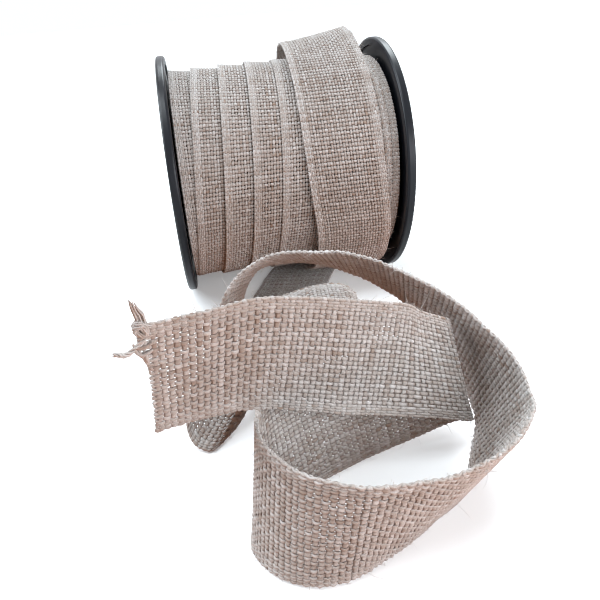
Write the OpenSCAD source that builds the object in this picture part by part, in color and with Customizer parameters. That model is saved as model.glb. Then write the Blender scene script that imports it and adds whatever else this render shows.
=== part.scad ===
// Ribbon spool lying on its side, with its last turn loose and its tail looped in front.
// X runs along the spool's axis, +Z is up and the front is at -Y.
// The origin is the middle of the bore, so the table lies at z = -flange_d / 2.

/* [Spool] */
// Diameter of both flanges
flange_d = 83; // [80:1:90]
// Thickness of a flange at its rim
rim_t = 2.8; // [2.4:0.1:3.2]
// Thickness of the flange's web, between rim and hub
web_t = 1.6; // [1.2:0.1:2]
// Width of the raised rim, measured from the edge inwards
rim_w = 2.6; // [2:0.1:3.5]
// Clear length between the two flanges
clear_l = 72; // [72:1:76]
// Diameter of the hole through both hubs
bore_d = 16; // [12:0.5:18]
// Length of each hub plug inside the core tube
plug_l = 9; // [6:1:12]

/* [Core] */
// Outside diameter of the core tube
core_od = 30; // [28:0.5:34]
// Inside diameter of the core tube, which both hub plugs press into
core_id = 26; // [24:0.5:26]

/* [Ribbon] */
// Width of the ribbon
ribbon_w = 25; // [24:0.5:26]
// Thickness of the ribbon
ribbon_t = 0.8; // [0.6:0.1:1]
// Outside diameter of the tight winding
wound_d = 74; // [72:0.5:74]
// Distance along the axis from one outer turn to the next
turn_step = 9.3; // [8:0.1:10]
// How far each outer turn slopes down from its raised selvedge
turn_drop = 0.9; // [0.4:0.1:1.2]
// Diameter of the knot of drawn threads at the cut end
knot_d = 3.6; // [3:0.2:4]

/* [Hidden] */
$fn = 96;

flange_r = flange_d / 2;
bore_r = bore_d / 2;
wound_r = wound_d / 2;
outer_layer_t = 3;           // depth of the outer layers that show the stepped turns
web_inset = (rim_t - web_t) / 2;
hub_collar_r = bore_r + 3;   // raised ring around the bore on the outer face
hub_collar_h = rim_t - web_inset - web_t;
slack = 0.3;                 // clearance between ribbon and neighbours that it only rests against
tape_t = 0.3;
tape_l = 18;
tape_arc = 70;
first_turn_x = -32;          // raised selvedge of the first turn that shows
shown_turns = 5;

black = [0.04, 0.05, 0.06];
linen = [0.72, 0.66, 0.58];
kraft = [0.55, 0.42, 0.30];

// ---------------------------------------------------------------- the spool

// Half section of the left flange: outer face at x = 0, hub plug towards +x. Drawn as [radius, x].
module flange_section() {
    difference() {
        union() {
            translate([bore_r, web_inset]) square([flange_r - bore_r - rim_w / 2, web_t]);
            translate([flange_r - rim_w, 0]) rim_section();
            translate([bore_r, 0]) square([hub_collar_r - bore_r, web_inset + web_t]);
            translate([bore_r, web_inset]) square([core_id / 2 - bore_r, rim_t - web_inset + plug_l]);
            translate([core_id / 2 - 1, web_inset]) square([core_od / 2 + 1.5 - core_id / 2, rim_t - web_inset]);
        }
        translate([bore_r + 2, rim_t]) square([core_id / 2 - bore_r - 4, plug_l + 1]);
    }
}

// Rim with rounded outer corners
module rim_section() {
    round_r = 0.8;
    union() {
        square([rim_w - round_r, rim_t]);
        translate([0, round_r]) square([rim_w, rim_t - 2 * round_r]);
        for (x = [round_r, rim_t - round_r]) translate([rim_w - round_r, x]) circle(round_r, $fn = 32);
    }
}

// Turns a [radius, x] section about the X axis
module about_x_axis() {
    rotate([0, 90, 0]) rotate_extrude() children();
}

module flange_left() {
    color(black) translate([-clear_l / 2 - rim_t, 0, 0]) about_x_axis() flange_section();
}

module flange_right() {
    color(black) mirror([1, 0, 0]) translate([-clear_l / 2 - rim_t, 0, 0]) about_x_axis() flange_section();
}

module core_tube() {
    color(kraft) translate([-clear_l / 2, 0, 0]) about_x_axis()
        translate([core_id / 2, 0]) square([(core_od - core_id) / 2, clear_l]);
}

// Strip of tape that holds the ribbon's inner end on the core
module start_tape() {
    color([0.85, 0.80, 0.62]) translate([-tape_l / 2, 0, 0]) rotate([0, 90, 0])
        rotate_extrude(angle = tape_arc) translate([core_od / 2, 0]) square([tape_t, tape_l]);
}

module winding_inner() {
    color(linen) translate([-clear_l / 2 + slack, 0, 0]) about_x_axis()
        translate([core_od / 2 + tape_t, 0])
            square([wound_r - outer_layer_t - core_od / 2 - tape_t, clear_l - 2 * slack]);
}

// Outer layers: each turn overlaps the one before, so its left selvedge stands up as a small step
module winding_outer() {
    left = -clear_l / 2 + slack;
    right = clear_l / 2 - slack;
    floor_r = wound_r - outer_layer_t;
    starts = [for (i = [0:shown_turns - 1]) first_turn_x + i * turn_step];
    steps = [for (x = starts) each [[wound_r - turn_drop, x], [wound_r, x + 0.5]]];
    color(linen) about_x_axis()
        polygon(concat([[floor_r, left], [wound_r - turn_drop, left]], steps,
            [[wound_r - turn_drop, right], [floor_r, right]]));
}

// ---------------------------------------------------------------- the ribbon's route

// The loose last turn: angle up from the front, x of the left selvedge, and the radius of the
// middle of the ribbon at its left and right selvedges.
loose_route = [
    [-125, 3.5, 38, 38], [-100, 5, 38, 38], [-75, 6.5, 38.8, 38.8], [-50, 7.5, 39.8, 39.8],
    [-25, 7, 39.3, 39.3], [0, 5, 38.5, 38.5], [25, 4, 38.3, 38.3], [50, 4, 38.6, 38.8],
    [75, 4, 40, 40.5], [95, 4.5, 41.8, 44], [112, 5, 42.3, 47.8], [130, 6, 42, 47],
    [150, 7, 41.5, 44.5], [170, 8, 41, 42.5], [190, 9, 41.5, 42]
];

// The tail: where its two selvedges lie, each as [x, y, height above the table]
tail_route = [
    // down behind the spool and forward under it
    [[9.5, 42, 22], [34.5, 42, 22]],
    [[9, 41, 10], [34, 41.5, 10]],
    [[8.5, 36, 2.5], [33.5, 36.5, 2.5]],
    [[7, 28, 0.5], [32, 28, 0.5]],
    [[2, 13, 0.5], [26.5, 9, 0.5]],
    [[-7, -3, 0.5], [16.5, -11.5, 0.5]],
    [[-13, -17, 0.5], [10, -27, 0.5]],
    // slanting fold that turns it to the right
    [[-18, -28.5, 0.5], [1, -48, 0.5]],
    [[-21, -36, 0.5], [-7, -66, 0.5]],
    [[-22.4, -36.6, 1.3], [-8.4, -66.6, 1.3]],
    [[-21, -36, 2.1], [-7, -66, 2.1]],
    [[-14, -40, 2.2], [-3, -66, 2.2]],
    [[-5, -43, 2.2], [2, -67.5, 2.2]],
    [[5, -45.5, 2.2], [7.5, -70.5, 2.2]],
    [[11.5, -47, 2.8], [13, -72, 2.2]],
    // curls over at its right end and comes back as a hump
    [[16, -48.5, 7.5], [15.5, -72.5, 3.3]],
    [[11.5, -48.5, 12.6], [12.5, -71.5, 4.6]],
    [[5, -47, 12.8], [5, -70.5, 4.6]],
    [[-2.5, -47.5, 12.2], [-3, -71, 4.4]],
    [[-11, -50, 11], [-11, -73.5, 3.8]],
    [[-18, -54, 10.5], [-17, -77.5, 3]],
    // stands up on its edge and runs to the left front corner
    [[-23, -60, 11.5], [-21, -82.5, 2.4]],
    [[-24, -67.5, 13], [-24, -89.5, 1.6]],
    [[-22.5, -76.5, 14.5], [-27, -96.5, 1]],
    [[-20, -85, 14.5], [-31, -102.5, 0.8]],
    [[-20, -90, 13], [-35, -106.5, 0.6]],
    // doubles back and rises at the left
    [[-24, -89, 14], [-39, -105, 2]],
    [[-26, -83.5, 15.5], [-40.5, -101.5, 6]],
    [[-26, -79, 17], [-38.5, -99.5, 12.5]],
    [[-24.5, -75.5, 18.5], [-35, -98, 18.5]],
    [[-23, -73, 21.5], [-31, -96, 25]],
    // over the arch
    [[-20.5, -71.5, 26.5], [-27.5, -94, 34.5]],
    [[-16, -70.5, 31.5], [-22.5, -93, 40]],
    [[-8, -72, 32.5], [-15.5, -93.5, 43.5]],
    [[1.5, -76, 31.5], [-6, -96, 44]],
    [[11, -81.5, 28.5], [3.5, -100, 43.5]],
    [[19, -89, 23.5], [12.5, -106, 40.5]],
    // down the right wall
    [[24.5, -97.5, 16.5], [20.5, -113, 36]],
    [[27.2, -107, 10], [26, -120, 31.5]],
    [[26.8, -116, 5], [29, -127, 27]],
    [[22.5, -123, 2], [29, -132, 24]],
    [[19, -129, 0.9], [28, -136, 23]],
    // round the front
    [[16.5, -133, 0.6], [24.5, -140, 23]],
    [[11.5, -136.5, 0.6], [19, -145, 23]],
    [[4.5, -140.5, 0.6], [10.5, -149, 23]],
    [[-3.5, -145, 0.6], [0.5, -151, 24]],
    [[-12.5, -148.5, 0.6], [-10, -151, 25]],
    [[-21.5, -147.5, 0.9], [-19, -146, 25.5]],
    [[-27.5, -141.5, 1.2], [-24, -136.5, 25]],
    [[-27.5, -134.5, 0.6], [-24.5, -126.5, 23]],
    [[-20, -128, 0.6], [-21.5, -118, 22.5]],
    // back wall, up to the sharp turn at the right
    [[-8, -121, 0.6], [-12, -113, 23.5]],
    [[3, -117, 1], [-0.5, -111.5, 25]],
    [[14, -115, 2.5], [10, -110.5, 27]],
    [[20.5, -114.5, 4.3], [15.7, -109.7, 28.4]],
    [[23.2, -115.6, 5.5], [18.6, -110.2, 29.4]],
    [[24.6, -117.8, 7], [20, -112, 30.6]],
    // free end, in front of the back wall
    [[23, -120, 8.6], [18.6, -114, 32.4]],
    [[14.5, -121.2, 11.8], [12.5, -115.4, 35.8]],
    [[4, -122, 15], [9, -116.7, 38.5]],
    [[-6.5, -123.7, 18.8], [-1.8, -121, 43]],
    [[-16.5, -124.9, 22.4], [-12, -124.6, 46.8]],
    [[-26, -126.5, 25.6], [-22.5, -128.8, 50]],
    [[-34.5, -128, 26.2], [-31.6, -132, 50.6]],
    [[-43, -130.5, 26.6], [-40.5, -134.7, 51]]
];

function on_spool(s) =
    [for (k = [0, 1]) [s[1] + k * ribbon_w, -s[2 + k] * cos(s[0]), s[2 + k] * sin(s[0])]];
function on_table(s) = [for (p = s) [p[0], p[1], p[2] - flange_r]];
route = concat([for (s = loose_route) on_spool(s)], [for (s = tail_route) on_table(s)]);
last = len(route) - 1;

// Length along the middle of the ribbon at each station
function middle(i) = (route[i][0] + route[i][1]) / 2;
function running(i, n, sum) = i > last ? [] : let(s = sum + (i == 0 ? 0 : norm(middle(i) - middle(i - 1))))
    concat([s], running(i + 1, n, s));
along = running(0, last, 0);

// Direction of selvedge k at station i
function slope(i, k) = let(a = max(i - 1, 0), b = min(i + 1, last))
    (route[b][k] - route[a][k]) / (along[b] - along[a]);

// Point of selvedge k at u, from 0 to 1 between stations i and i + 1
function selvedge(i, k, u) = let(j = min(i + 1, last), d = along[j] - along[i])
    (2 * pow(u, 3) - 3 * u * u + 1) * route[i][k] + (pow(u, 3) - 2 * u * u + u) * d * slope(i, k)
    + (3 * u * u - 2 * pow(u, 3)) * route[j][k] + (pow(u, 3) - u * u) * d * slope(j, k);

// Rate of change of selvedge k at the same place
function heading(i, k, u) = let(j = min(i + 1, last), d = along[j] - along[i])
    d == 0 ? slope(i, k) :
    (6 * u * u - 6 * u) * (route[i][k] - route[j][k]) / d
    + (3 * u * u - 4 * u + 1) * slope(i, k) + (3 * u * u - 2 * u) * slope(j, k);

function unit(v) = v / norm(v);

// Four corners of the ribbon's section
function ring(i, u) =
    let(a = selvedge(i, 0, u), b = selvedge(i, 1, u),
        up = unit(cross(heading(i, 0, u) + heading(i, 1, u), b - a)) * ribbon_t / 2)
    [a + up, b + up, b - up, a - up];

ring_steps = 3; // sections between two stations

// The ribbon from station first to station end, as one closed solid
module ribbon_run(first, end) {
    rings = concat([for (i = [first:end - 1], k = [0:ring_steps - 1]) ring(i, k / ring_steps)],
        [ring(end, 0)]);
    n = len(rings);
    sides = [for (i = [0:n - 2], k = [0:3]) let(m = (k + 1) % 4)
        each [[4 * i + k, 4 * i + m, 4 * i + 4 + m], [4 * i + k, 4 * i + 4 + m, 4 * i + 4 + k]]];
    caps = [[3, 2, 1], [3, 1, 0], [4 * n - 4, 4 * n - 3, 4 * n - 2], [4 * n - 4, 4 * n - 2, 4 * n - 1]];
    color(linen) polyhedron([for (r = rings) each r], concat(sides, caps));
}

// Stations where one stretch of the ribbon ends and the next begins
on_back = 10;
behind_spool = len(loose_route) - 1;
at_fold = behind_spool + 8;
at_curl = at_fold + 7;
at_hump_end = at_curl + 6;
at_corner = at_hump_end + 5;
at_rise_end = at_corner + 6;
at_arch_end = at_rise_end + 5;
at_wall_end = at_arch_end + 5;
at_front_end = at_wall_end + 5;
at_left_end = at_front_end + 4;
at_sharp_turn = at_left_end + 6;

module loose_turn() { ribbon_run(0, on_back); }
module loose_turn_back() { ribbon_run(on_back, behind_spool); }
module tail_under_spool() { ribbon_run(behind_spool, at_fold); }
module tail_fold() { ribbon_run(at_fold, at_curl); }
module tail_hump() { ribbon_run(at_curl, at_hump_end); }
module tail_lead_in() { ribbon_run(at_hump_end, at_corner); }
module tail_rise() { ribbon_run(at_corner, at_rise_end); }
module tail_arch() { ribbon_run(at_rise_end, at_arch_end); }
module tail_right_wall() { ribbon_run(at_arch_end, at_wall_end); }
module tail_front_wall() { ribbon_run(at_wall_end, at_front_end); }
module tail_left_turn() { ribbon_run(at_front_end, at_left_end); }
module tail_back_wall() { ribbon_run(at_left_end, at_sharp_turn); }
module free_end() { ribbon_run(at_sharp_turn, last); }

// Knot of drawn threads at the upper corner of the cut end, with two short thread tips
module end_knot() {
    corner = route[last][1];
    color(linen) translate(corner + [-2, -0.3, -2]) {
        sphere(d = knot_d, $fn = 32);
        rotate([0, -20, 0]) cylinder(h = 6, d = 1.2, $fn = 16);
        rotate([0, -115, 0]) cylinder(h = 6.5, d = 0.9, $fn = 16);
        rotate([0, 80, 0]) cylinder(h = 2.6, d = 1, $fn = 16);
    }
}

flange_left();
flange_right();
core_tube();
start_tape();
winding_inner();
winding_outer();
loose_turn();
loose_turn_back();
tail_under_spool();
tail_fold();
tail_hump();
tail_lead_in();
tail_rise();
tail_arch();
tail_right_wall();
tail_front_wall();
tail_left_turn();
tail_back_wall();
free_end();
end_knot();
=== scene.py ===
"""Looks of the ribbon spool. Metres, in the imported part's frame: +X along the bore, +Z up,
front at -Y. Every stretch of ribbon is woven here from its own warp and weft threads."""

import math

import bpy
import numpy as np
from mathutils import Matrix, Vector


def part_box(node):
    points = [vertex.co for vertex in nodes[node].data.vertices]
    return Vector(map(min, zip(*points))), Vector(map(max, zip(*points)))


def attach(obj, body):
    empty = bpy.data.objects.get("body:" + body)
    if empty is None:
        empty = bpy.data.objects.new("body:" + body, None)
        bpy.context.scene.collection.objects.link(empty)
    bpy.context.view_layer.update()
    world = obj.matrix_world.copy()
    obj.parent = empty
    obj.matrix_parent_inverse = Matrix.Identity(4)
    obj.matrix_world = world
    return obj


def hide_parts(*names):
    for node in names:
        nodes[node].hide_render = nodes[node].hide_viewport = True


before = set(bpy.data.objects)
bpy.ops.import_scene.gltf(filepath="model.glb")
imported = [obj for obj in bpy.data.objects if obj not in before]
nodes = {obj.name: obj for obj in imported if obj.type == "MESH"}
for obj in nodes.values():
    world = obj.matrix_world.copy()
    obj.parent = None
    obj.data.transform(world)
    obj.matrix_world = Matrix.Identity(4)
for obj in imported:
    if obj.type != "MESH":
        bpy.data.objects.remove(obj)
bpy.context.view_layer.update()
MM = 0.001
floor_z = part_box("flange_left")[0].z


# ------------------------------------------------------------------ camera
def aim_camera(where, heading, pitch, roll, lens, shift):
    """A camera looking along +Y, turned right by heading, up by pitch and clockwise by roll."""
    data = bpy.data.cameras.new("camera")
    data.lens, data.sensor_width = lens, 36.0
    data.shift_x, data.shift_y = shift
    data.clip_start, data.clip_end = 0.01, 20
    cam = bpy.data.objects.new("camera", data)
    turn = (
        Matrix.Rotation(math.radians(-heading), 4, "Z")
        @ Matrix.Rotation(math.radians(90 + pitch), 4, "X")
        @ Matrix.Rotation(math.radians(-roll), 4, "Z")
    )
    cam.matrix_world = Matrix.Translation(where) @ turn
    bpy.context.scene.collection.objects.link(cam)
    bpy.context.scene.camera = cam


aim_camera(Vector((-0.0285, -0.2212, 0.0527)), 6.49, -26.5, 4.88, 35.7, (0.031, 0.0105))

# ------------------------------------------------------------------ the ribbon's route
WIDTH = 25.0  # mm, as are all lengths up to the meshes themselves
THREAD_STEP = 1.3  # between two weft threads
SELVEDGE = [0.3, 0.88, 1.46, 2.04]  # warp threads of one selvedge, from the edge inwards
OPEN_FROM, OPEN_THREADS = 2.85, 21  # the open weave between the selvedges
SIDES = 6  # of each thread's section
CRIMP = 0.26  # how far a thread bends over and under the others
THREAD_THIN = 0.22  # half a thread's thickness
SELVEDGE_WARP = (0.33, 0.28)  # half the width and half the thickness of a selvedge thread
OPEN_WARP_WIDE, WEFT_WIDE = 0.40, 0.50  # half the width of the threads of the open weave
PAST_EDGE = 0.38  # how far a weft loops out round the outermost warp thread
LESS_SHADE_WARP, LESS_SHADE_WEFT = 0.55, 0.5  # how far the shade painted into the hollows between threads is lessened at a selvedge
FLOOR_GAP = 0.5  # the least height of the ribbon's middle over the table

# The same stations as the CAD model's. On the spool: degrees up from the front, the left
# selvedge's x, and the radius of the left and of the right selvedge.
LOOSE_ROUTE = [
    (-125, 3.5, 38, 38), (-100, 5, 38, 38), (-75, 6.5, 38.8, 38.8), (-50, 7.5, 39.8, 39.8),
    (-25, 7, 39.3, 39.3), (0, 5, 38.5, 38.5), (25, 4, 38.3, 38.3), (50, 4, 38.6, 38.8),
    (75, 4, 40, 40.5), (95, 4.5, 41.8, 44), (112, 5, 42.3, 47.8), (130, 6, 42, 47),
    (150, 7, 41.5, 44.5), (170, 8, 41, 42.5), (190, 9, 41.5, 42),
]
# The tail: the left and the right selvedge, each as x, y and height above the table.
TAIL_ROUTE = [
    # down behind the spool and forward under it
    ((9.5, 42, 22), (34.5, 42, 22)),
    ((9, 41, 10), (34, 41.5, 10)),
    ((8.5, 36, 2.5), (33.5, 36.5, 2.5)),
    ((7, 28, 0.5), (32, 28, 0.5)),
    ((2, 13, 0.5), (26.5, 9, 0.5)),
    ((-7, -3, 0.5), (16.5, -11.5, 0.5)),
    ((-13, -17, 0.5), (10, -27, 0.5)),
    # slanting fold that turns it to the right
    ((-18, -28.5, 0.5), (1, -48, 0.5)),
    ((-21, -36, 0.5), (-7, -66, 0.5)),
    ((-22.4, -36.6, 1.3), (-8.4, -66.6, 1.3)),
    ((-21, -36, 2.1), (-7, -66, 2.1)),
    ((-14, -40, 2.2), (-3, -66, 2.2)),
    ((-5, -43, 2.2), (2, -67.5, 2.2)),
    ((5, -45.5, 2.2), (7.5, -70.5, 2.2)),
    ((11.5, -47, 2.8), (13, -72, 2.2)),
    # curls over at its right end and comes back as a hump
    ((16, -48.5, 7.5), (15.5, -72.5, 3.3)),
    ((11.5, -48.5, 12.6), (12.5, -71.5, 4.6)),
    ((5, -47, 12.8), (5, -70.5, 4.6)),
    ((-2.5, -47.5, 12.2), (-3, -71, 4.4)),
    ((-11, -50, 11), (-11, -73.5, 3.8)),
    ((-18, -54, 10.5), (-17, -77.5, 3)),
    # stands up on its edge and runs to the left front corner
    ((-23, -60, 11.5), (-21, -82.5, 2.4)),
    ((-24, -67.5, 13), (-24, -89.5, 1.6)),
    ((-22.5, -76.5, 14.5), (-27, -96.5, 1)),
    ((-20, -85, 14.5), (-31, -102.5, 0.8)),
    ((-20, -90, 13), (-35, -106.5, 0.6)),
    # doubles back and rises at the left
    ((-24, -89, 14), (-39, -105, 2)),
    ((-26, -83.5, 15.5), (-40.5, -101.5, 6)),
    ((-26, -79, 17), (-38.5, -99.5, 12.5)),
    ((-24.5, -75.5, 18.5), (-35, -98, 18.5)),
    ((-23, -73, 21.5), (-31, -96, 25)),
    # over the arch
    ((-20.5, -71.5, 26.5), (-27.5, -94, 34.5)),
    ((-16, -70.5, 31.5), (-22.5, -93, 40)),
    ((-8, -72, 32.5), (-15.5, -93.5, 43.5)),
    ((1.5, -76, 31.5), (-6, -96, 44)),
    ((11, -81.5, 28.5), (3.5, -100, 43.5)),
    ((19, -89, 23.5), (12.5, -106, 40.5)),
    # down the right wall
    ((24.5, -97.5, 16.5), (20.5, -113, 36)),
    ((27.2, -107, 10), (26, -120, 31.5)),
    ((26.8, -116, 5), (29, -127, 27)),
    ((22.5, -123, 2), (29, -132, 24)),
    ((19, -129, 0.9), (28, -136, 23)),
    # round the front
    ((16.5, -133, 0.6), (24.5, -140, 23)),
    ((11.5, -136.5, 0.6), (19, -145, 23)),
    ((4.5, -140.5, 0.6), (10.5, -149, 23)),
    ((-3.5, -145, 0.6), (0.5, -151, 24)),
    ((-12.5, -148.5, 0.6), (-10, -151, 25)),
    ((-21.5, -147.5, 0.9), (-19, -146, 25.5)),
    ((-27.5, -141.5, 1.2), (-24, -136.5, 25)),
    ((-27.5, -134.5, 0.6), (-24.5, -126.5, 23)),
    ((-20, -128, 0.6), (-21.5, -118, 22.5)),
    # back wall, up to the sharp turn at the right
    ((-8, -121, 0.6), (-12, -113, 23.5)),
    ((3, -117, 1), (-0.5, -111.5, 25)),
    ((14, -115, 2.5), (10, -110.5, 27)),
    ((20.5, -114.5, 4.3), (15.7, -109.7, 28.4)),
    ((23.2, -115.6, 5.5), (18.6, -110.2, 29.4)),
    ((24.6, -117.8, 7), (20, -112, 30.6)),
    # free end, in front of the back wall
    ((23, -120, 8.6), (18.6, -114, 32.4)),
    ((14.5, -121.2, 11.8), (12.5, -115.4, 35.8)),
    ((4, -122, 15), (9, -116.7, 38.5)),
    ((-6.5, -123.7, 18.8), (-1.8, -121, 43)),
    ((-16.5, -124.9, 22.4), (-12, -124.6, 46.8)),
    ((-26, -126.5, 25.6), (-22.5, -128.8, 50)),
    ((-34.5, -128, 26.2), (-31.6, -132, 50.6)),
    ((-43, -130.5, 26.6), (-40.5, -134.7, 51)),
]
# Each stretch of the loose ribbon: its name, its last station, how it lies and what it rests on
STRETCHES = [
    ("loose_turn", 10, "hung", "winding_outer"),
    ("loose_turn_back", 14, "hung", "winding_outer"),
    ("tail_under_spool", 22, "laid", "floor"),
    ("tail_fold", 29, "folded", "tail_under_spool"),
    ("tail_hump", 35, "folded", "tail_fold"),
    ("tail_corner", 46, "folded", "floor"),
    ("tail_arch", 51, "draped", "tail_corner"),
    ("tail_right_wall", 56, "laid", "floor"),
    ("tail_front_wall", 61, "laid", "floor"),
    ("tail_left_turn", 65, "laid", "floor"),
    ("tail_back_wall", 71, "laid", "floor"),
    ("free_end", 79, "draped", "tail_left_turn"),
]
CORNER_NODES = ["tail_lead_in", "tail_rise"]  # the CAD nodes that tail_corner stands for


def on_spool(degrees, x, left_r, right_r):
    """Left and right selvedge points of one station on the spool."""
    a = math.radians(degrees)
    return [
        (x + k * WIDTH, -r * math.cos(a), r * math.sin(a)) for k, r in enumerate((left_r, right_r))
    ]


def stations():
    """All stations, as an array of shape (station, selvedge, xyz)."""
    table = floor_z / MM
    tail = [[(x, y, h + table) for x, y, h in pair] for pair in TAIL_ROUTE]
    return np.array([on_spool(*s) for s in LOOSE_ROUTE] + tail, float)


def cubic(u, p, q, m, n):
    """Point at share u of the cubic from p to q that starts with slope m and ends with slope n."""
    return (
        (2 * u**3 - 3 * u**2 + 1) * p
        + (u**3 - 2 * u**2 + u) * m
        + (3 * u**2 - 2 * u**3) * q
        + (u**3 - u**2) * n
    )


def smooth_line(points, per_step=24):
    """The CAD model's curve through the stations, sampled finely, the length along its middle at
    each sample, and each station's length."""
    middle = points.mean(1)
    along = np.r_[0, np.cumsum(np.linalg.norm(np.diff(middle, axis=0), axis=1))]
    last = len(points) - 1
    before = np.maximum(np.arange(last + 1) - 1, 0)
    after = np.minimum(np.arange(last + 1) + 1, last)
    slope = (points[after] - points[before]) / (along[after] - along[before])[:, None, None]
    u = (np.arange(per_step) / per_step)[None, :, None, None]
    gap = np.diff(along)[:, None, None, None]
    m, n = slope[:-1, None] * gap, slope[1:, None] * gap
    curve = cubic(u, points[:-1, None], points[1:, None], m, n)
    curve = np.concatenate([curve.reshape(-1, 2, 3), points[-1:]])
    mid = curve.mean(1)
    length = np.r_[0, np.cumsum(np.linalg.norm(np.diff(mid, axis=0), axis=1))]
    return curve, length, length[::per_step]


def ripple(x, wave, seed):
    """Smooth, repeatable wander between about -1 and 1, with this wavelength."""
    rng = np.random.default_rng(seed)
    total = 0.0
    for k, share in enumerate((0.5, 0.3, 0.2)):
        rate = 2 * math.pi / wave * (1 + 0.83 * k + 0.3 * rng.random())
        total = total + share * np.sin(rate * x + 2 * math.pi * rng.random())
    return total


def ripples(x, wave, seeds):
    """One ripple per row of x, each with its own seed."""
    return np.stack([ripple(row, wave, s) for row, s in zip(x, seeds)])


def unit(v):
    """Vectors of length 1 in the same directions."""
    return v / np.maximum(np.linalg.norm(v, axis=-1, keepdims=True), 1e-9)


class Strip:
    """A ruled strip between two selvedge lines, by length along its middle and share across.
    wavy is how far, in mm, its surface wanders off the ruled one."""

    def __init__(self, left, right, length, wavy=0.0, seed=0):
        self.length = length
        self.lines = (left, right)
        self.slopes = tuple(np.gradient(line, length, axis=0) for line in self.lines)
        self.wavy, self.seed = wavy, seed

    def _mix(self, pair, s, f):
        """Value at length s, a share f of the way from the first line to the second."""
        out = []
        for c in range(3):
            a = np.interp(s, self.length, pair[0][:, c])
            b = np.interp(s, self.length, pair[1][:, c])
            out.append(a + (b - a) * f)
        return np.stack(out, -1)

    def at(self, s, f):
        """Point, direction along, direction across and normal at each (s, f)."""
        p = self._mix(self.lines, s, f)
        along = unit(self._mix(self.slopes, s, f))
        ends = [self._mix(self.lines, s, np.full_like(f, k)) for k in (0.0, 1.0)]
        across = unit(ends[1] - ends[0])
        normal = unit(np.cross(along, across))
        if self.wavy:
            edge = (2 * f - 1) ** 2
            lift = ripple(s, 23, self.seed) * (2 * f - 1) + ripple(s, 41, self.seed + 1)
            p = p + normal * (self.wavy * lift * (0.4 + edge))[..., None]
        p[..., 2] = np.maximum(p[..., 2], floor_z / MM + FLOOR_GAP)
        return p, along, across, normal


# ------------------------------------------------------------------ meshes
def new_object(name, verts, faces_by_size, uv, shade_relief, material, body, slot):
    """A mesh object riding on body. faces_by_size is a list of (count, corners) index arrays.
    relief is 1 on the crown of a thread and falls to -1 where another thread covers it; the thread
    material paints shade into the colour where it is low."""
    me = bpy.data.meshes.new(name)
    loops = np.concatenate([f.ravel() for f in faces_by_size]).astype(np.int32)
    sizes = np.concatenate([np.full(len(f), f.shape[1]) for f in faces_by_size])
    starts = np.r_[0, np.cumsum(sizes)[:-1]].astype(np.int32)
    me.vertices.add(len(verts))
    me.vertices.foreach_set("co", (verts * MM).astype(np.float32).ravel())
    me.loops.add(len(loops))
    me.loops.foreach_set("vertex_index", loops)
    me.polygons.add(len(starts))
    me.polygons.foreach_set("loop_start", starts)
    me.update(calc_edges=True)
    layer = me.uv_layers.new(name="threads")
    layer.data.foreach_set("uv", uv[loops].astype(np.float32).ravel())
    heights = me.attributes.new("shade_relief", "FLOAT", "POINT")
    heights.data.foreach_set("value", np.broadcast_to(shade_relief, len(verts)).astype(np.float32))
    me.shade_smooth()
    me.materials.append(material)
    ob = bpy.data.objects.new(name, me)
    bpy.context.scene.collection.objects.link(ob)
    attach(ob, body)
    return ob


def tubes(centre, side, up, half_w, half_t, first_id, phase=1.0, less_shade=1.0, sides=SIDES):
    """Closed tubes. centre, side and up are (tube, point, xyz); half_w and half_t (tube, point).
    The direction along, side and up are right-handed. phase is 1 where the thread is on top and
    pale evens out its relief, which lessens the shade painted into the hollows between threads.
    Returns vertices, faces, uv and relief."""
    count, points = centre.shape[:2]
    angle = 2 * math.pi * np.arange(sides) / sides
    ring = (
        centre[:, :, None]
        + side[:, :, None] * (half_w[..., None] * np.cos(angle))[..., None]
        + up[:, :, None] * (half_t[..., None] * np.sin(angle))[..., None]
    )
    base = (np.arange(count) * points * sides)[:, None, None]
    k = (np.arange(points - 1) * sides)[None, :, None]
    i = np.arange(sides)[None, None, :]
    j = (i + 1) % sides
    quads = np.stack([base + k + i, base + k + j, base + k + sides + j, base + k + sides + i], -1)
    start = base[:, 0] + np.arange(sides)[::-1][None]
    end = base[:, 0] + (points - 1) * sides + np.arange(sides)[None]
    run = np.linalg.norm(np.diff(centre, axis=1), axis=2)
    run = np.concatenate([np.zeros((count, 1)), np.cumsum(run, 1)], 1)
    uv = np.zeros((count, points, sides, 2))
    uv[..., 0] = run[:, :, None] / 100
    uv[..., 1] = first_id + np.arange(count)[:, None, None] + 0.2 + 0.6 * np.arange(sides) / sides
    phase, less_shade = (np.broadcast_to(v, (count, points))[..., None] for v in (phase, less_shade))
    # relief that the painted shade follows: highest on the face of a thread that lies on top,
    # lowest on the face another thread covers
    shade_relief = less_shade + (1 - less_shade) * phase * np.sin(angle)
    faces = [quads.reshape(-1, 4), np.concatenate([start, end])]
    return ring.reshape(-1, 3), faces, uv.reshape(-1, 2), shade_relief.ravel()


def warp_places(width):
    """Distance of each warp thread from the left selvedge, and which belong to a selvedge."""
    left = np.array(SELVEDGE)
    middle = np.linspace(OPEN_FROM, WIDTH - OPEN_FROM, OPEN_THREADS)
    places = np.r_[left, middle, WIDTH - left[::-1]]
    border = np.ones(len(left), bool)
    dense = np.r_[border, np.zeros(OPEN_THREADS, bool), border]
    if width < WIDTH:  # only the left part of the ribbon shows
        keep = places <= width
        places, dense = places[keep], dense[keep]
    return places, dense


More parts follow.
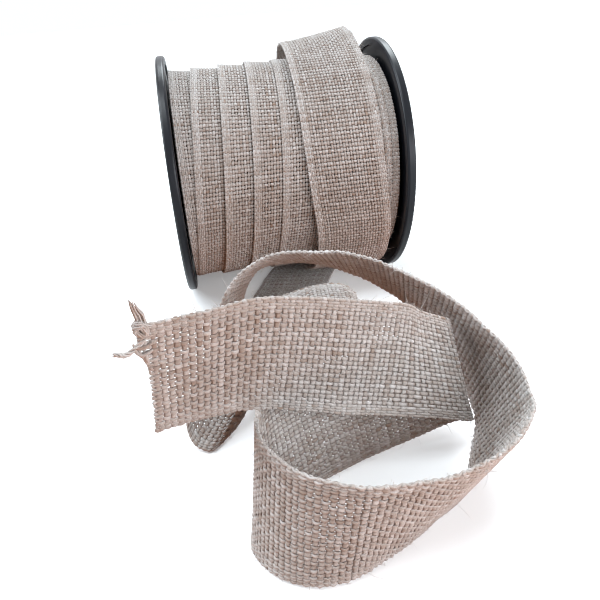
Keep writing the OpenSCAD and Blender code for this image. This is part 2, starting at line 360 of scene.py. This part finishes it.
def weave(
    name, strip, start, end, body, share_of_width=1.0, seed=0, thick=1.0, yarn=1.0, open_less_shade=0.0
):
    """Warp and weft threads of the strip from start to end, whole numbers of thread steps.
    thick and yarn scale the threads' thickness and width; soft lessens the shade painted into the
    hollows between."""
    shown = WIDTH * share_of_width
    places, dense = warp_places(shown)
    index = np.arange(len(places))
    # warp: along the ribbon
    s = np.arange(start * 2, end * 2 + 1) / 2 * THREAD_STEP
    s = np.broadcast_to(s, (len(places), len(s)))
    seeds = seed * 1000 + index
    drift = 0.07 * ripples(s, 9, seeds) * np.where(dense, 0.3, 1.0)[:, None]
    f = (places[:, None] + drift) / WIDTH
    p, along, across, normal = strip.at(s, f)
    phase = np.cos(math.pi * (s / THREAD_STEP - 0.5) + math.pi * index[:, None])
    p = p + normal * (thick * CRIMP * phase)[..., None]
    slub = 1 + 0.18 * ripples(s, 5, seeds + 300) + 0.14 * ripples(s, 31, seeds + 600)
    half_w = np.where(dense, SELVEDGE_WARP[0], OPEN_WARP_WIDE * yarn)[:, None] * slub
    half_t = thick * np.where(dense, SELVEDGE_WARP[1], THREAD_THIN)[:, None] * slub
    # how far the shade painted into the hollows is lessened: most at the selvedges
    less_shade = np.where(dense, LESS_SHADE_WARP, open_less_shade)[:, None]
    up = np.cross(along, across)
    warp = new_object(
        name + "_warp",
        *tubes(p, across, up, half_w, half_t, seed * 37, phase, less_shade),
        thread,
        body,
        "ribbon",
    )
    # weft: across the ribbon, round the outermost warp threads
    rows = np.arange(start, end) + 0.5
    stops = np.sort(np.r_[places, (places[1:] + places[:-1]) / 2])
    count = np.interp(stops, places, index)
    stops = np.r_[places[0] - PAST_EDGE, stops, min(places[-1] + PAST_EDGE, WIDTH + 0.08)]
    count = np.r_[-0.5, count, len(places) - 0.5]
    v = np.broadcast_to(stops, (len(rows), len(stops)))
    drift = 0.08 * ripples(v, 11, seed * 1000 + 5000 + np.arange(len(rows)))
    s = rows[:, None] * THREAD_STEP + drift
    p, along, across, normal = strip.at(s, v / WIDTH)
    phase = np.cos(math.pi * count[None] + math.pi * np.arange(start, end)[:, None])
    p = p - normal * (thick * CRIMP * phase)[..., None]
    seeds = seed * 1000 + 9000 + np.arange(len(rows))
    slub = 1 + 0.18 * ripples(v, 4, seeds) + 0.16 * ripples(v, 27, seeds)
    half_w, half_t = WEFT_WIDE * yarn * slub, thick * THREAD_THIN * slub
    half_w[:, [0, -1]] *= 0.7
    in_border = v < OPEN_FROM - 0.5
    if shown >= WIDTH:
        in_border = in_border | (WIDTH - v < OPEN_FROM - 0.5)
    # how far the shade painted into the hollows is lessened: most at the selvedges
    less_shade = np.where(in_border, LESS_SHADE_WEFT, open_less_shade)
    up = np.cross(across, along)
    weft = new_object(
        name + "_weft",
        *tubes(p, along, up, half_w, half_t, seed * 53 + 400, phase, less_shade),
        thread,
        body,
        "ribbon",
    )
    return warp, weft


# ------------------------------------------------------------------ materials
def shader(name, roughness, sheen=0.0, specular=0.5):
    """A new material, with its node tree, Principled node and a helper that adds nodes."""
    mat = bpy.data.materials.new(name)
    mat.use_nodes = True
    tree = mat.node_tree
    principled = tree.nodes["Principled BSDF"]
    principled.inputs["Roughness"].default_value = roughness
    principled.inputs["Sheen Weight"].default_value = sheen
    principled.inputs["Sheen Roughness"].default_value = 0.5
    principled.inputs["Specular IOR Level"].default_value = specular

    def add(kind, inputs=None, **settings):
        node = tree.nodes.new("ShaderNode" + kind)
        for key, value in settings.items():
            setattr(node, key, value)
        for key, value in (inputs or {}).items():
            if isinstance(value, bpy.types.NodeSocket):
                tree.links.new(value, node.inputs[key])
            else:
                node.inputs[key].default_value = value
        return node

    return mat, tree, principled, add


def ramp(add, fac, stops):
    """A colour ramp with these (place, colour) stops."""
    node = add("ValToRGB", {"Fac": fac})
    band = node.color_ramp
    while len(band.elements) < len(stops):
        band.elements.new(0.5)
    for element, (place, colour) in zip(band.elements, stops):
        element.position, element.color = place, (*colour, 1)
    return node.outputs["Color"]


def thread_material():
    """Slubby linen yarn: each thread has its own tone, with paler and browner lengths along it, and
    shade painted into its colour on its flanks and where it dives under another thread.
    """
    mat, tree, principled, add = shader("linen_thread", 0.85, sheen=0.35, specular=0.2)
    uv = add("UVMap", uv_map="threads").outputs["UV"]
    parts = add("SeparateXYZ", {"Vector": uv})
    number = add("Math", {0: parts.outputs["Y"]}, operation="FLOOR").outputs[0]
    own = add("TexWhiteNoise", {"W": number}, noise_dimensions="1D").outputs["Value"]
    place = add("CombineXYZ", {"X": parts.outputs["X"], "Y": number}).outputs[0]
    long = add("TexNoise", {"Vector": place, "Scale": 15.0, "Detail": 3.0}).outputs["Fac"]
    fine = add(
        "TexNoise", {"Vector": uv, "Scale": 160.0, "Detail": 2.0, "Roughness": 0.6}
    ).outputs["Fac"]
    shade = add("Math", {0: own, 1: 0.3, 2: -0.07}, operation="MULTIPLY_ADD").outputs[0]
    shade = add("Math", {0: long, 1: 0.95, 2: shade}, operation="MULTIPLY_ADD").outputs[0]
    colour = ramp(
        add,
        shade,
        [
            (0.24, (0.37, 0.265, 0.20)),
            (0.40, (0.48, 0.415, 0.375)),
            (0.58, (0.59, 0.55, 0.525)),
            (0.82, (0.75, 0.73, 0.72)),
        ],
    )
    fibre = ramp(add, fine, [(0.3, (0.80, 0.77, 0.75)), (0.7, (1.0, 1.0, 1.0))])
    # painted shade: darker on a thread's flanks and darkest where another thread covers it, after
    # the relief attribute
    height = add("Attribute", attribute_name="shade_relief").outputs["Fac"]
    height = add("MapRange", {"Value": height, "From Min": -1.0}).outputs[0]
    painted_crevice_shade = ramp(
        add,
        height,
        [
            (0.26, (0.30, 0.21, 0.16)),
            (0.47, (0.58, 0.505, 0.455)),
            (0.62, (0.87, 0.85, 0.84)),
            (0.82, (1.0, 1.0, 1.0)),
        ],
    )
    for layer in (fibre, painted_crevice_shade):
        mixed = add("Mix", data_type="RGBA", blend_type="MULTIPLY")
        mixed.inputs["Factor"].default_value = 1.0
        tree.links.new(colour, mixed.inputs[6])
        tree.links.new(layer, mixed.inputs[7])
        colour = mixed.outputs[2]
    tree.links.new(colour, principled.inputs["Base Color"])
    bump = add("Bump", {"Height": fine, "Strength": 0.5, "Distance": 0.0002})
    tree.links.new(bump.outputs["Normal"], principled.inputs["Normal"])
    return mat


def packed_material():
    """Layers of ribbon lying under the outer turns: the same linen, with the shade it lies in
    painted into its colour.
    """
    mat, tree, principled, add = shader("linen_under_layers_painted_shade", 0.95, sheen=0.2, specular=0.1)
    where = add("TexCoord").outputs["Object"]
    grain = add("TexNoise", {"Vector": where, "Scale": 900.0, "Detail": 4.0}).outputs["Fac"]
    broad = add("TexNoise", {"Vector": where, "Scale": 60.0, "Detail": 2.0}).outputs["Fac"]
    both = add("Math", {0: grain, 1: 0.6, 2: broad}, operation="MULTIPLY_ADD").outputs[0]
    # painted shade: the linen's grain in very dark browns
    colour = ramp(add, both, [(0.55, (0.085, 0.055, 0.04)), (1.0, (0.19, 0.135, 0.10))])
    tree.links.new(colour, principled.inputs["Base Color"])
    bump = add("Bump", {"Height": grain, "Strength": 0.7, "Distance": 0.0004})
    tree.links.new(bump.outputs["Normal"], principled.inputs["Normal"])
    return mat


def flange_material():
    """Moulded gloss plastic with faint handling marks."""
    mat, tree, principled, add = shader("black_gloss_plastic", 0.3, specular=0.25)
    where = add("TexCoord").outputs["Object"]
    smudge = add("TexNoise", {"Vector": where, "Scale": 70.0, "Detail": 5.0}).outputs["Fac"]
    rough = add("MapRange", {"Value": smudge, "To Min": 0.22, "To Max": 0.42}).outputs[0]
    tree.links.new(rough, principled.inputs["Roughness"])
    tint = ramp(add, smudge, [(0.3, (0.004, 0.005, 0.008)), (0.75, (0.010, 0.012, 0.017))])
    tree.links.new(tint, principled.inputs["Base Color"])
    flow = add("TexNoise", {"Vector": where, "Scale": 24.0, "Detail": 1.0}).outputs["Fac"]
    bump = add("Bump", {"Height": flow, "Strength": 0.12, "Distance": 0.0006})
    tree.links.new(bump.outputs["Normal"], principled.inputs["Normal"])
    return mat


def board_material(name, dark, light, scale):
    """Plain paper or board with fibres in it."""
    mat, tree, principled, add = shader(name, 0.9, specular=0.2)
    where = add("TexCoord").outputs["Object"]
    fibres = add("TexNoise", {"Vector": where, "Scale": scale, "Detail": 6.0}).outputs["Fac"]
    tree.links.new(ramp(add, fibres, [(0.35, dark), (0.7, light)]), principled.inputs["Base Color"])
    bump = add("Bump", {"Height": fibres, "Strength": 0.3, "Distance": 0.0002})
    tree.links.new(bump.outputs["Normal"], principled.inputs["Normal"])
    return mat


thread = thread_material()


def repaint(node, material):
    """Gives a CAD node its look; its shape stays."""
    ob = nodes[node]
    ob.data.materials.clear()
    ob.data.materials.append(material)


flange_look = flange_material()
for node in ("flange_left", "flange_right"):
    repaint(node, flange_look)
repaint("core_tube", board_material("kraft_board", (0.25, 0.16, 0.09), (0.42, 0.30, 0.19), 600.0))
repaint("start_tape", board_material("paper_tape", (0.62, 0.52, 0.32), (0.76, 0.68, 0.48), 300.0))
# the layers under the outer turns and the imported inner winding get the linen with painted shade
under_layers_painted_shade = packed_material()
repaint("winding_inner", under_layers_painted_shade)


# ------------------------------------------------------------------ the tail and the loose turn
TAUT, SLACK = (0.93, 0.06), (1.04, 0.12)  # yarn, and how far the shade painted into the open weave's hollows is lessened, as weave takes them


def build_tail():
    """Returns its strip and the thread step at which each stretch ends."""
    curve, length, place = smooth_line(stations())
    strip = Strip(curve[:, 0], curve[:, 1], length, wavy=0.12, seed=3)
    made, ends_at = {}, {}
    begin = 0
    for number, (name, station, held, below) in enumerate(STRETCHES):
        finish = round(place[station] / THREAD_STEP)
        yarn, open_less_shade = TAUT if name.startswith("loose") else SLACK
        warp, weft = weave(
            name, strip, begin, finish, "ribbon", seed=11 + number, yarn=yarn, open_less_shade=open_less_shade
        )
        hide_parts(*CORNER_NODES if name == "tail_corner" else [name])
        made[name] = (warp, weft, held, below, (finish - begin) * THREAD_STEP)
        begin = finish
        ends_at[name] = finish
    return strip, ends_at


# ------------------------------------------------------------------ the winding
WOUND = {"thick": 0.85, "yarn": 0.93, "open_less_shade": 0.1}  # its weave, with how far the shade painted into its hollows is lessened
WOUND_R = 36.7  # middle of the ribbon at a turn's raised selvedge
DROP = 0.85  # how far a turn slopes down before the next one covers it
TURN_STEP = 9.3  # from one turn to the next, along the bore
OVERLAP = 2.6  # how much of a turn is also woven under the next one
LAST_TURN = 4  # the one that runs on under the loose turn, counted from 0
TUCKED_DEG = 250  # angle at which it ends there
UNDER = 1.2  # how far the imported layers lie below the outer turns
FIRST_TURN = -41.0  # x of the first turn's left selvedge at the front
AROUND = 2 * round(math.pi * WOUND_R / THREAD_STEP)  # weft threads in one turn


def turn_x(angle, turn):
    """Left selvedge of a turn at this angle up from the front, in degrees."""
    return FIRST_TURN + TURN_STEP * (turn + angle / 360) + 1.6 * np.sin(np.radians(angle))


def turn_r(angle, turn):
    """Radius of a turn's raised selvedge: the winding is slacker towards the loose turn."""
    return WOUND_R + np.interp(turn + angle / 360, [-0.5, 1, 2, 3.2, 3.5], [-0.6, -0.3, 0, 0.3, 0])


def wound_strip(left_x, right_x, left_r, right_r, from_deg, to_deg):
    """A strip lying on the winding; x is a function of the angle in degrees, r may be one."""
    angle = np.linspace(from_deg, to_deg, 861)
    a = np.radians(angle)
    lines = []
    for x, r in ((left_x(angle), left_r), (right_x(angle), right_r)):
        r = r(angle) if callable(r) else r
        lines.append(np.stack([x + 0 * a, -r * np.cos(a), r * np.sin(a)], -1))
    length = (angle - angle[0]) / 360 * AROUND * THREAD_STEP
    return Strip(*lines, length=length, wavy=0.05, seed=int(from_deg) + 500)


def last_turn_x(angle):
    """Left selvedge of the last wound turn, which runs on under the start of the loose turn."""
    start_deg, start_x = LOOSE_ROUTE[0][0] + 360, LOOSE_ROUTE[0][1]
    past = np.clip((angle - 180) / (start_deg - 180), 0, 1)
    return (1 - past) * turn_x(np.minimum(angle, 180), LAST_TURN) + past * start_x


def build_winding():
    """The outer turns, each over the one before, and two older layers beside them."""
    full = DROP * WIDTH / TURN_STEP
    left_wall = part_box("winding_outer")[0].x / MM + 0.3
    made = []
    for turn in range(LAST_TURN):
        strip = wound_strip(
            lambda a: np.maximum(turn_x(a, turn), left_wall),
            lambda a: np.maximum(turn_x(a, turn), left_wall) + WIDTH,
            lambda a: turn_r(a, turn),
            lambda a: turn_r(a, turn) - full,
            -180,
            180,
        )
        made.append((f"turn_{turn + 1}", strip, 0, AROUND, (TURN_STEP + OVERLAP) / WIDTH))
    strip = wound_strip(
        last_turn_x,
        lambda a: last_turn_x(a) + WIDTH,
        WOUND_R,
        lambda a: WOUND_R - 1.8 * np.clip((180 - a) / 360, 0, 1),
        -180,
        TUCKED_DEG,
    )
    ends = [0, AROUND // 2, AROUND, round(AROUND * (TUCKED_DEG + 180) / 360)]
    for part, begin, finish in zip("abc", ends, ends[1:]):
        made.append(("turn_5" + part, strip, begin, finish, 1.0))
    for name, right, left_r, right_r in (("near", 32.4, 35.1, 36.2), ("far", 35.1, 34.7, 35.35)):
        strip = wound_strip(
            lambda a: right - WIDTH + 0.3 * np.sin(np.radians(2 * a)),
            lambda a: right + 0.3 * np.sin(np.radians(2 * a)),
            left_r,
            right_r,
            -180,
            180,
        )
        made.append((f"below_{name}_a", strip, 0, AROUND // 2, 1.0))
        made.append((f"below_{name}_b", strip, AROUND // 2, AROUND, 1.0))
    for number, (name, strip, begin, finish, share) in enumerate(made):
        warp, weft = weave(name, strip, begin, finish, "spool", share, seed=101 + number, **WOUND)
        if number == 0:
            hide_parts("winding_outer")


def build_under_layers():
    """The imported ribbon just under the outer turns: a ring with a stepped outside."""
    low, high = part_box("winding_outer")
    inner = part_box("winding_inner")[1].z / MM + 0.15
    x0, x1 = low.x / MM + 0.1, high.x / MM - 0.1
    xs = np.linspace(x0, x1, 145)
    steps = 192
    a = 2 * math.pi * np.arange(steps) / steps
    turns = (xs[:, None] - turn_x(np.degrees(a), 0)[None]) / TURN_STEP
    r = WOUND_R - UNDER - DROP * (turns % 1.0)
    # right of the last turn it lies lower, under the older layers that show there
    side = np.clip((xs[:, None] - 6) / 3, 0, 1)
    r = (1 - side) * r + side * np.interp(xs, [6, 36], [34.3, 34.6])[:, None]
    outer = np.stack(
        [np.repeat(xs[:, None], steps, 1), -r * np.cos(a), r * np.sin(a)], -1
    ).reshape(-1, 3)
    walls = [
        np.stack([np.full(steps, x), -inner * np.cos(a), inner * np.sin(a)], -1) for x in (x0, x1)
    ]
    rings = np.concatenate([walls[0], outer, walls[1]]).reshape(-1, steps, 3)
    rows = len(rings)
    i, j = np.meshgrid(np.arange(rows), np.arange(steps), indexing="ij")
    nxt, turn = (i + 1) % rows, (j + 1) % steps
    quads = np.stack([i * steps + j, nxt * steps + j, nxt * steps + turn, i * steps + turn], -1)
    uv = np.stack([j / steps, i / rows], -1).reshape(-1, 2)
    new_object(
        "winding_under",
        rings.reshape(-1, 3),
        [quads.reshape(-1, 4)],
        uv,
        0.0,
        under_layers_painted_shade,
        "spool",
        "ribbon",
    )


# ------------------------------------------------------------------ stray fibres, knot and cut end
def twisted(path, yarns, wide, turns):
    """Yarns wound round one another along a path given in mm."""
    path = np.array(path, float)
    step = np.linspace(0, len(path) - 1, 8 * len(path))
    middle = np.stack([np.interp(step, range(len(path)), path[:, c]) for c in range(3)], -1)
    ahead = unit(np.gradient(middle, axis=0))
    side = unit(np.cross(ahead, np.array([0.23, 0.31, 0.91])))
    up = np.cross(ahead, side)
    spin = 2 * math.pi * turns * np.linspace(0, 1, len(step))[:, None]
    return [
        middle + wide * (np.cos(spin + h) * side + np.sin(spin + h) * up)
        for h in 2 * math.pi * np.arange(yarns) / yarns
    ]


def cords(name, paths, radii, body, slot, seed, points=26, less_shade=0.3):
    """Threads laid through the given points, thinning towards both ends. pale lessens the shade
    painted on their flanks and undersides.
    """
    lines = []
    for path in paths:
        path = np.array(path, float)
        along = np.r_[0, np.cumsum(np.linalg.norm(np.diff(path, axis=0), axis=1))]
        slope = np.gradient(path, along, axis=0)
        t = np.linspace(0, along[-1], points)
        k = np.clip(np.searchsorted(along, t, side="right") - 1, 0, len(path) - 2)
        gap = np.diff(along)[k][:, None]
        u = (t - along[k])[:, None] / gap
        lines.append(cubic(u, path[k], path[k + 1], slope[k] * gap, slope[k + 1] * gap))
    lines = np.array(lines)
    ahead = unit(np.gradient(lines, axis=1))
    side = unit(np.cross(ahead, np.array([0.23, 0.91, 0.31])))
    share = np.linspace(-1, 1, points)[None]
    r = np.array(radii)[:, None] * (1 - 0.45 * share**6)
    r = r * (1 + 0.12 * ripples(np.broadcast_to(share * 9, r.shape), 7, seed + np.arange(len(r))))
    return new_object(
        name,
        *tubes(lines, side, np.cross(ahead, side), r, r, seed, 1.0, less_shade),
        thread,
        body,
        slot,
    )


def hairs(name, roots, out, along, lengths, radius, body, seed, curl=0.6):
    """Fine curved fibres standing out of the cloth."""
    rng = np.random.default_rng(seed)
    n, points = len(roots), 6
    u = np.linspace(0, 1, points)[None, :, None]
    aside = unit(np.cross(out, along)) * rng.normal(0, 0.7, (n, 1))
    lean = along * rng.normal(0, 0.9, (n, 1))
    first = unit(out + 0.7 * aside + 0.7 * lean)
    bend = unit(rng.normal(0, 1, (n, 3))) * curl
    path = roots[:, None] + (first[:, None] * u + bend[:, None] * u**2) * lengths[:, None, None]
    path[..., 2] = np.maximum(path[..., 2], floor_z / MM + 0.1)
    ahead = unit(np.gradient(path, axis=1))
    side = unit(np.cross(ahead, np.array([0.31, 0.27, 0.91])))
    up = np.cross(ahead, side)
    r = radius[:, None] * (1 - 0.6 * np.linspace(0, 1, points)[None] ** 2)
    return new_object(
        name, *tubes(path, side, up, r, r, seed * 7, sides=3), thread, body, "ribbon"
    )


def fuzz_on(name, strip, start, end, count, body, seed, sides=(-1, 1)):
    """Fibres over a strip, half of them at its selvedges. sides lists the faces they stand on."""
    rng = np.random.default_rng(seed)
    s = rng.uniform(start, end, count) * THREAD_STEP
    f = rng.random(count)
    at_edge = rng.random(count) < 0.5
    f = np.where(at_edge, np.where(f < 0.5, 0.005, 0.995), f)
    p, along, across, normal = strip.at(s, f)
    out = normal * rng.choice(sides, count)[:, None]
    out = unit(out + across * (np.where(at_edge, 1.6, 0.0) * np.sign(f - 0.5))[:, None])
    p = p + normal * (out * normal).sum(1, keepdims=True) * 0.3
    lengths = 0.7 + 2.8 * rng.random(count) ** 3
    radius = rng.uniform(0.03, 0.055, count)
    return hairs(name, p, out, along, lengths, radius, body, seed)


def build_cut_end(strip, end):
    """Frayed thread ends, the knot of drawn threads on the upper corner and its loose strand."""
    rng = np.random.default_rng(77)
    corner, along, across, normal = strip.at(np.array([end * THREAD_STEP]), np.array([1.0]))
    axes = np.concatenate([along, across, normal])

    def place(path):
        """Points given as mm past the cut end, above its upper corner and away from the front."""
        return corner[0] + np.array(path, float) @ axes

    # each warp thread sticks out past the last weft, most of all just below the knot
    places, _ = warp_places(WIDTH)
    below = places - WIDTH
    out = 0.25 + 0.35 * rng.random(len(below)) + 1.7 * np.exp(-(((below + 4.6) / 1.7) ** 2))
    ends = []
    for b, reach in zip(below, out):
        sag, turn = rng.normal(0, 0.18, 2)
        ends.append(
            place(
                [(-0.6, b, 0), (0.0, b, 0), (reach * 0.6, b + sag * 0.4, turn * 0.6),
                 (reach, b + sag, turn)]
            )
        )
    cords("cut_end_warp", ends, [0.33] * len(ends), "ribbon", "ribbon", 900, points=9)
    wefts = [
        place([(0.5, -0.8, -0.2), (0.75, -2.2, 0.25), (0.8, -3.6, -0.25), (0.9, -5.2, 0.25),
               (0.7, -6.8, -0.2), (0.45, -8.6, 0.2), (0.35, -10.4, -0.2)]),
        place([(1.5, -2.6, 0.2), (1.75, -3.6, -0.25), (1.8, -4.7, 0.25), (1.6, -5.8, -0.25),
               (1.1, -6.9, 0.2), (0.7, -8.2, -0.1)]),
        place([(-0.5, -3.7, -0.45), (0.6, -4.0, -0.6), (1.8, -4.15, -0.5), (2.5, -3.9, -0.2),
               (2.6, -3.5, 0.1)]),
        place([(-0.4, -5.2, -0.4), (0.6, -5.5, -0.6), (1.5, -5.7, -0.5), (2.2, -5.2, -0.3),
               (2.45, -4.3, -0.1), (2.5, -3.8, 0.1)]),
    ]
    cords("cut_end_weft", wefts, [0.34, 0.34, 0.3, 0.3], "ribbon", "ribbon", 940)
    # the knot: three fat loops round one another, and a tuft of cut ends standing up from it
    loops = [
        [(-1.2, -0.5, 0.1), (0.1, -0.2, -0.25), (1.2, 0.35, -0.75), (2.1, -0.2, -0.4),
         (2.0, -1.3, 0.25), (1.2, -2.0, 0.3), (0.4, -1.7, -0.5), (0.6, -0.7, -0.9),
         (1.3, 0.1, -0.6), (1.0, 0.9, -0.1)],
        [(-0.9, -1.4, 0.1), (0.1, -1.3, 0.4), (1.1, -0.6, 0.6), (1.9, 0.3, 0.1),
         (1.4, 0.7, -0.6), (0.5, 0.1, -0.7), (0.35, -1.0, -0.7), (1.0, -1.9, -0.5),
         (1.6, -2.5, -0.1), (1.5, -3.2, 0.0)],
        [(-0.8, -2.2, 0.0), (0.2, -2.1, -0.3), (1.1, -1.6, -0.85), (2.0, -0.9, -0.6),
         (2.1, 0.1, 0.1), (1.3, 0.6, 0.5), (0.5, 0.3, 0.4), (0.2, -0.7, 0.3),
         (0.9, -1.6, 0.5), (1.5, -2.4, 0.3)],
    ]
    paths, radii = [], []
    for path in loops:
        paths += [place(yarn) for yarn in twisted(path, 5, 0.3, 1.6)]
        radii += [0.2] * 5
    for k in range(9):
        spread = -0.9 + 1.8 * k / 8
        depth = 0.34 * math.cos(2.4 * k)
        tip = 4.1 + 0.5 * math.sin(1.9 * k) + 0.1 * k
        paths.append(
            place(
                [(1.0 + 0.9 * spread, -0.4, depth - 0.2), (1.0 + 0.8 * spread, 0.8, depth - 0.15),
                 (1.2 + 0.8 * spread, 2.0, depth), (1.65 + 0.6 * spread, 3.1, depth * 0.8),
                 (2.05 + 0.45 * spread, tip, depth * 0.7)]
            )
        )
        radii.append(0.14)
    knot = cords("knot_threads", paths, radii, "ribbon", "knot", 970, points=60)
    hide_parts("end_knot")
    # the strand below it: three yarns twisted together, hanging to the left
    spine = [(0.1, -2.0, 0.1), (0.9, -3.0, -0.2), (2.3, -4.0, -0.35), (3.4, -4.9, -0.3),
             (4.3, -5.2, -0.2), (5.1, -4.9, 0.0), (6.0, -4.7, 0.1)]
    ropes = [place(yarn) for yarn in twisted(spine, 3, 0.25, 2.2)]
    cords("knot_strand", ropes, [0.24, 0.22, 0.2], "ribbon", "knot", 990, points=60)


build_under_layers()
build_winding()
tail, ends_at = build_tail()
loose_end, cut_end = ends_at["loose_turn_back"], ends_at["free_end"]
build_cut_end(tail, cut_end)
fuzz_on("fuzz_loose_turn", tail, 0, loose_end, 450, "ribbon", 42, sides=(-1,))
fuzz_on("fuzz_tail", tail, loose_end, cut_end, 1500, "ribbon", 41)


# ------------------------------------------------------------------ stage
FLOOR_PALE = (0.93, 0.93, 0.93)
FLOOR_BOUNCE = (0.44, 0.18, 0.085)  # light thrown up by the table: a wooden one in the photograph
FLOOR_GLOW = (0.22, 0.22, 0.22)  # keeps the floor white in the camera's view
ROOM_SEEN, ROOM_LIGHT = 1.05, 0.08  # the surroundings, as they look and as they light matt things
# Each light: name, kind, place, point aimed at, size (degrees for a sun), power and tint
LIGHTS = [
    ("overhead", "SUN", (-0.25, -0.12, 0.96), (0, 0, 0), 30, 2.0, (0.88, 0.95, 1.0)),
    ("behind", "SUN", (0.20, 0.60, 0.75), (0, 0, 0), 30, 2.0, (0.88, 0.96, 1.0)),
    ("window", "AREA", (-0.50, 0.06, 0.34), (0, -0.04, 0), 0.45, 3.3, (0.84, 0.93, 1.0)),
    ("right", "AREA", (0.27, -0.27, 0.08), (0, -0.12, 0), 0.2, 0.65, (0.93, 0.96, 1.0)),
    ("low", "AREA", (0.08, -0.32, 0.08), (0, -0.12, 0), 0.15, 0.34, (0.93, 0.96, 1.0)),
]


def build_stage():
    """Pale floor and surroundings, light from above, behind and a window at the left, low fills."""
    bpy.ops.mesh.primitive_plane_add(size=40, location=(0, 0, floor_z))
    floor = bpy.context.object
    floor.name = "floor"
    mat, tree, principled, add = shader("pale_floor", 0.95, specular=0.0)
    ray = add("LightPath").outputs
    colour = ramp(add, ray["Is Diffuse Ray"], [(0.0, FLOOR_PALE), (1.0, FLOOR_BOUNCE)])
    tree.links.new(colour, principled.inputs["Base Color"])
    glow = ramp(add, ray["Is Camera Ray"], [(0.0, (0.0, 0.0, 0.0)), (1.0, FLOOR_GLOW)])
    tree.links.new(glow, principled.inputs["Emission Color"])
    principled.inputs["Emission Strength"].default_value = 1.0
    floor.data.materials.append(mat)
    for name, kind, where, aim, size, power, tint in LIGHTS:
        light = bpy.data.lights.new(name, kind)
        light.energy, light.color = power, tint
        if kind == "SUN":
            light.angle = math.radians(size)
        else:
            light.shape, light.size = "DISK", size
        ob = bpy.data.objects.new(name, light)
        ob.location = where
        ob.rotation_euler = (Vector(aim) - Vector(where)).to_track_quat("-Z", "Y").to_euler()
        bpy.context.scene.collection.objects.link(ob)
    world = bpy.data.worlds.new("pale_room")
    world.use_nodes = True
    links, make = world.node_tree.links, world.node_tree.nodes.new
    background = world.node_tree.nodes["Background"]
    background.inputs["Color"].default_value = (0.95, 0.97, 1.0, 1)
    strength = make("ShaderNodeMapRange")
    strength.inputs["To Min"].default_value = ROOM_SEEN
    strength.inputs["To Max"].default_value = ROOM_LIGHT
    links.new(make("ShaderNodeLightPath").outputs["Is Diffuse Ray"], strength.inputs["Value"])
    links.new(strength.outputs[0], background.inputs["Strength"])
    bpy.context.scene.world = world
    bpy.context.scene.view_settings.view_transform = "Standard"
    bpy.context.scene.cycles.filter_width = 1.0


build_stage()
bpy.context.view_layer.update()
